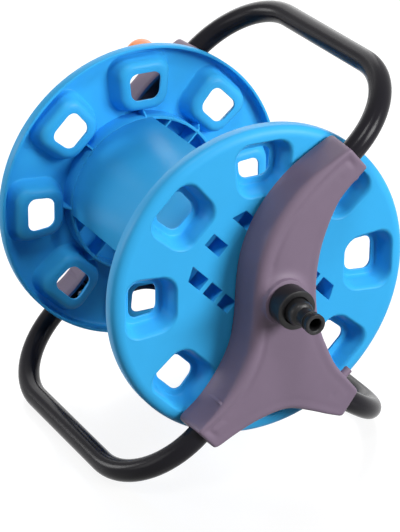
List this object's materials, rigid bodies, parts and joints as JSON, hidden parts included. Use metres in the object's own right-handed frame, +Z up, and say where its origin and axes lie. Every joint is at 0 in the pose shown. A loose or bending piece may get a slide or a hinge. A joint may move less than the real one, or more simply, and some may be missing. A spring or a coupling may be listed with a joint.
{
  "type": "hose reel cart",
  "caption": "Compact hose reel: a crank-turned drum between two perforated flanges, carried by moulded brackets on bent tubes that form the handle and the feet, with a water inlet on its axle.",
  "frame": {"origin": "centre of the bounding box, on the floor under the two foot tubes", "axes": "+X along the reel's axle towards the water inlet, +Y towards the handle's side, +Z up"},
  "size_m": [0.395, 0.2616, 0.3156],
  "materials": {
    "flange_blue": "moulded sky-blue plastic, satin gloss",
    "bracket_mauve": "moulded grey-mauve plastic, fine satin",
    "tube_black": "satin black powder coat on steel tube",
    "fitting_black": "moulded black plastic",
    "knob_orange": "moulded orange plastic",
    "bush_white": "natural acetal",
    "seal_rubber": "black rubber",
    "screw_steel": "zinc-plated steel"
  },
  "bodies": {
    "frame": {"front_bracket": "bracket_mauve", "rear_bracket": "bracket_mauve", "handle_tube": "tube_black", "left_foot_tube": "tube_black", "right_foot_tube": "tube_black", "inlet_nipple": "fitting_black", "inlet_collar": "fitting_black", "stem_seal_1": "seal_rubber", "stem_seal_2": "seal_rubber", "front_bush": "bush_white", "rear_bush": "bush_white", "handle_front_screw": "screw_steel", "handle_rear_screw": "screw_steel", "left_foot_front_screw": "screw_steel", "left_foot_rear_screw": "screw_steel", "right_foot_front_screw": "screw_steel", "right_foot_rear_screw": "screw_steel"},
    "reel": {"front_reel_half": "flange_blue", "rear_reel_half": "flange_blue", "water_elbow": "fitting_black", "outlet_barb": "fitting_black", "outlet_nut": "fitting_black", "elbow_screw_1": "screw_steel", "elbow_screw_2": "screw_steel", "crank_arm": "fitting_black", "crank_washer": "bush_white", "crank_screw": "screw_steel", "knob_pin": "screw_steel"},
    "knob": {"crank_knob": "knob_orange", "knob_cap": "fitting_black"}
  },
  "joints": [
    {"name": "reel_spin", "type": "hinge", "parent": "frame", "child": "reel", "pos_m": [0.00225, 0, 0.15884], "axis": [1, 0, 0], "continuous": true},
    {"name": "knob_spin", "type": "hinge", "parent": "reel", "child": "knob", "pos_m": [0.00225, 0.04703, 0.24368], "axis": [1, 0, 0], "continuous": true}
  ]
}
